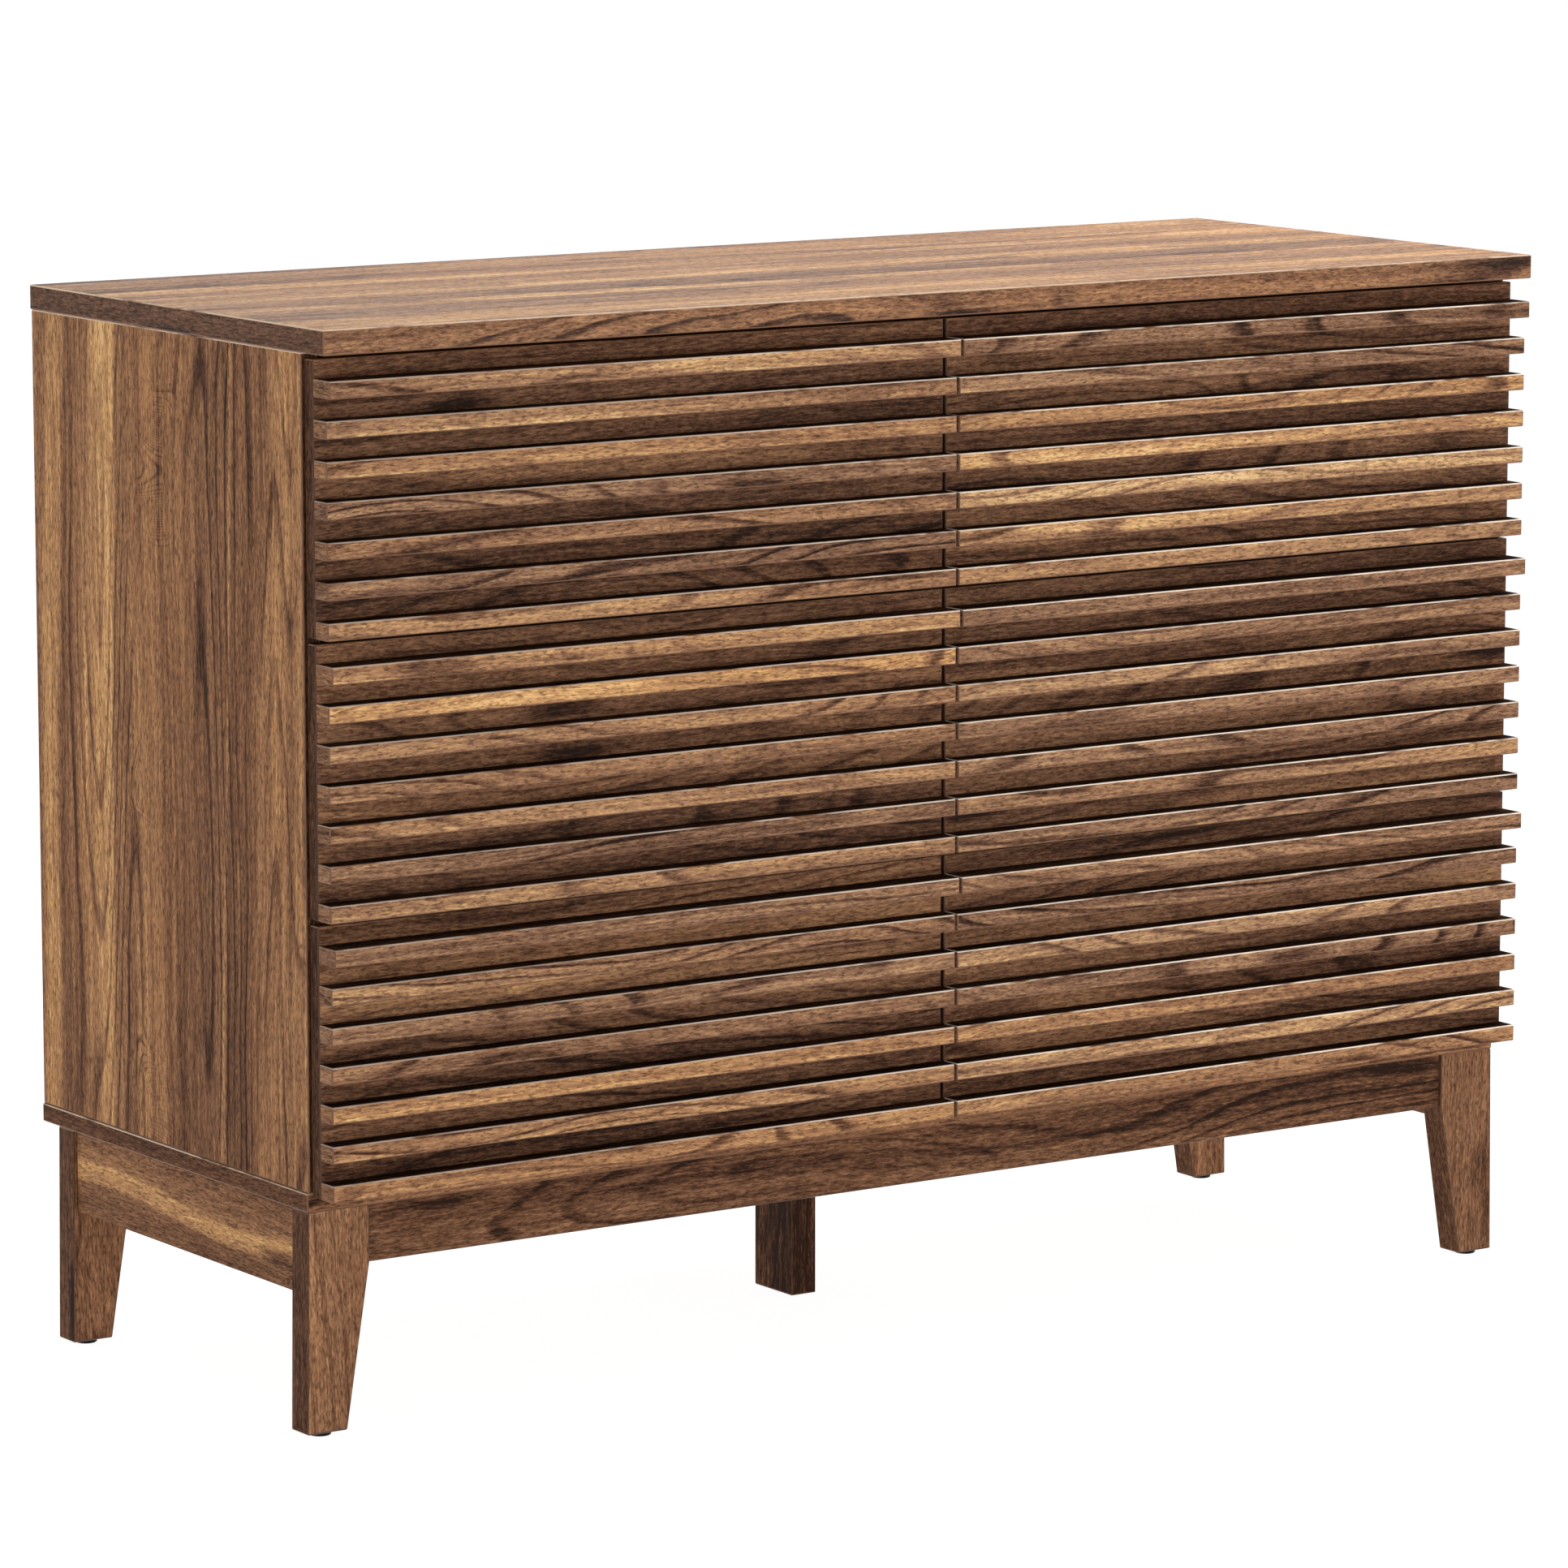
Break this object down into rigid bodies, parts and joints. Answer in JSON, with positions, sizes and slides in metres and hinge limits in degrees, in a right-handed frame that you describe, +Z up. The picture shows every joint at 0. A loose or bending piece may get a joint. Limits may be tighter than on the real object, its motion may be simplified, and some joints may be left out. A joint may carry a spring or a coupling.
{
  "type": "double dresser",
  "caption": "Low wooden double dresser with slatted drawer fronts in two columns, side panels, and a base of aprons and tapered legs.",
  "frame": {"origin": "on the floor, midway along the overall width and depth", "axes": "+Z up, drawer fronts face -Y, +X to the right of a person facing the fronts"},
  "size_m": [1.197, 0.471, 0.876],
  "materials": {
    "walnut_laminate": "satin",
    "walnut_slat": "satin",
    "drawer_board": "satin",
    "back_board": "matte",
    "zinc_steel": "satin",
    "black_plastic": "matte"
  },
  "bodies": {
    "cabinet": {"top_panel": "walnut_laminate", "bottom_panel": "walnut_laminate", "left_side_panel": "walnut_laminate", "right_side_panel": "walnut_laminate", "center_divider": "walnut_laminate", "back_panel": "back_board", "back_panel_nails": "zinc_steel", "front_apron": "walnut_laminate", "rear_apron": "walnut_laminate", "left_apron": "walnut_laminate", "right_apron": "walnut_laminate", "front_left_leg": "walnut_laminate", "front_right_leg": "walnut_laminate", "rear_left_leg": "walnut_laminate", "rear_right_leg": "walnut_laminate", "center_leg": "walnut_laminate", "foot_glides": "black_plastic", "cabinet_slides": "zinc_steel"},
    "bottom_left_drawer": {"bottom_left_drawer_front": "walnut_laminate", "bottom_left_drawer_slats": "walnut_slat", "bottom_left_drawer_box_sides": "drawer_board", "bottom_left_drawer_box_back": "drawer_board", "bottom_left_drawer_floor": "back_board", "bottom_left_drawer_inner_slides": "zinc_steel"},
    "bottom_left_slide_middles": {"bottom_left_drawer_middle_slides": "zinc_steel"},
    "bottom_right_drawer": {"bottom_right_drawer_front": "walnut_laminate", "bottom_right_drawer_slats": "walnut_slat", "bottom_right_drawer_box_sides": "drawer_board", "bottom_right_drawer_box_back": "drawer_board", "bottom_right_drawer_floor": "back_board", "bottom_right_drawer_inner_slides": "zinc_steel"},
    "bottom_right_slide_middles": {"bottom_right_drawer_middle_slides": "zinc_steel"},
    "middle_left_drawer": {"middle_left_drawer_front": "walnut_laminate", "middle_left_drawer_slats": "walnut_slat", "middle_left_drawer_box_sides": "drawer_board", "middle_left_drawer_box_back": "drawer_board", "middle_left_drawer_floor": "back_board", "middle_left_drawer_inner_slides": "zinc_steel"},
    "middle_left_slide_middles": {"middle_left_drawer_middle_slides": "zinc_steel"},
    "middle_right_drawer": {"middle_right_drawer_front": "walnut_laminate", "middle_right_drawer_slats": "walnut_slat", "middle_right_drawer_box_sides": "drawer_board", "middle_right_drawer_box_back": "drawer_board", "middle_right_drawer_floor": "back_board", "middle_right_drawer_inner_slides": "zinc_steel"},
    "middle_right_slide_middles": {"middle_right_drawer_middle_slides": "zinc_steel"},
    "top_left_drawer": {"top_left_drawer_front": "walnut_laminate", "top_left_drawer_slats": "walnut_slat", "top_left_drawer_box_sides": "drawer_board", "top_left_drawer_box_back": "drawer_board", "top_left_drawer_floor": "back_board", "top_left_drawer_inner_slides": "zinc_steel"},
    "top_left_slide_middles": {"top_left_drawer_middle_slides": "zinc_steel"},
    "top_right_drawer": {"top_right_drawer_front": "walnut_laminate", "top_right_drawer_slats": "walnut_slat", "top_right_drawer_box_sides": "drawer_board", "top_right_drawer_box_back": "drawer_board", "top_right_drawer_floor": "back_board", "top_right_drawer_inner_slides": "zinc_steel"},
    "top_right_slide_middles": {"top_right_drawer_middle_slides": "zinc_steel"}
  },
  "joints": [
    {"name": "bottom_left_drawer_slide", "type": "slide", "parent": "cabinet", "child": "bottom_left_drawer", "axis": [0, -1, 0], "range_m": [0, 0.36]},
    {"name": "bottom_left_slide_middles_slide", "type": "slide", "parent": "cabinet", "child": "bottom_left_slide_middles", "axis": [0, -1, 0], "range_m": [0, 0.18]},
    {"name": "bottom_right_drawer_slide", "type": "slide", "parent": "cabinet", "child": "bottom_right_drawer", "axis": [0, -1, 0], "range_m": [0, 0.36]},
    {"name": "bottom_right_slide_middles_slide", "type": "slide", "parent": "cabinet", "child": "bottom_right_slide_middles", "axis": [0, -1, 0], "range_m": [0, 0.18]},
    {"name": "middle_left_drawer_slide", "type": "slide", "parent": "cabinet", "child": "middle_left_drawer", "axis": [0, -1, 0], "range_m": [0, 0.36]},
    {"name": "middle_left_slide_middles_slide", "type": "slide", "parent": "cabinet", "child": "middle_left_slide_middles", "axis": [0, -1, 0], "range_m": [0, 0.18]},
    {"name": "middle_right_drawer_slide", "type": "slide", "parent": "cabinet", "child": "middle_right_drawer", "axis": [0, -1, 0], "range_m": [0, 0.36]},
    {"name": "middle_right_slide_middles_slide", "type": "slide", "parent": "cabinet", "child": "middle_right_slide_middles", "axis": [0, -1, 0], "range_m": [0, 0.18]},
    {"name": "top_left_drawer_slide", "type": "slide", "parent": "cabinet", "child": "top_left_drawer", "axis": [0, -1, 0], "range_m": [0, 0.36]},
    {"name": "top_left_slide_middles_slide", "type": "slide", "parent": "cabinet", "child": "top_left_slide_middles", "axis": [0, -1, 0], "range_m": [0, 0.18]},
    {"name": "top_right_drawer_slide", "type": "slide", "parent": "cabinet", "child": "top_right_drawer", "axis": [0, -1, 0], "range_m": [0, 0.36]},
    {"name": "top_right_slide_middles_slide", "type": "slide", "parent": "cabinet", "child": "top_right_slide_middles", "axis": [0, -1, 0], "range_m": [0, 0.18]}
  ],
  "couplings": [
    {"joint": "bottom_left_slide_middles_slide", "follows": "bottom_left_drawer_slide", "ratio": 0.5},
    {"joint": "bottom_right_slide_middles_slide", "follows": "bottom_right_drawer_slide", "ratio": 0.5},
    {"joint": "middle_left_slide_middles_slide", "follows": "middle_left_drawer_slide", "ratio": 0.5},
    {"joint": "middle_right_slide_middles_slide", "follows": "middle_right_drawer_slide", "ratio": 0.5},
    {"joint": "top_left_slide_middles_slide", "follows": "top_left_drawer_slide", "ratio": 0.5},
    {"joint": "top_right_slide_middles_slide", "follows": "top_right_drawer_slide", "ratio": 0.5}
  ]
}
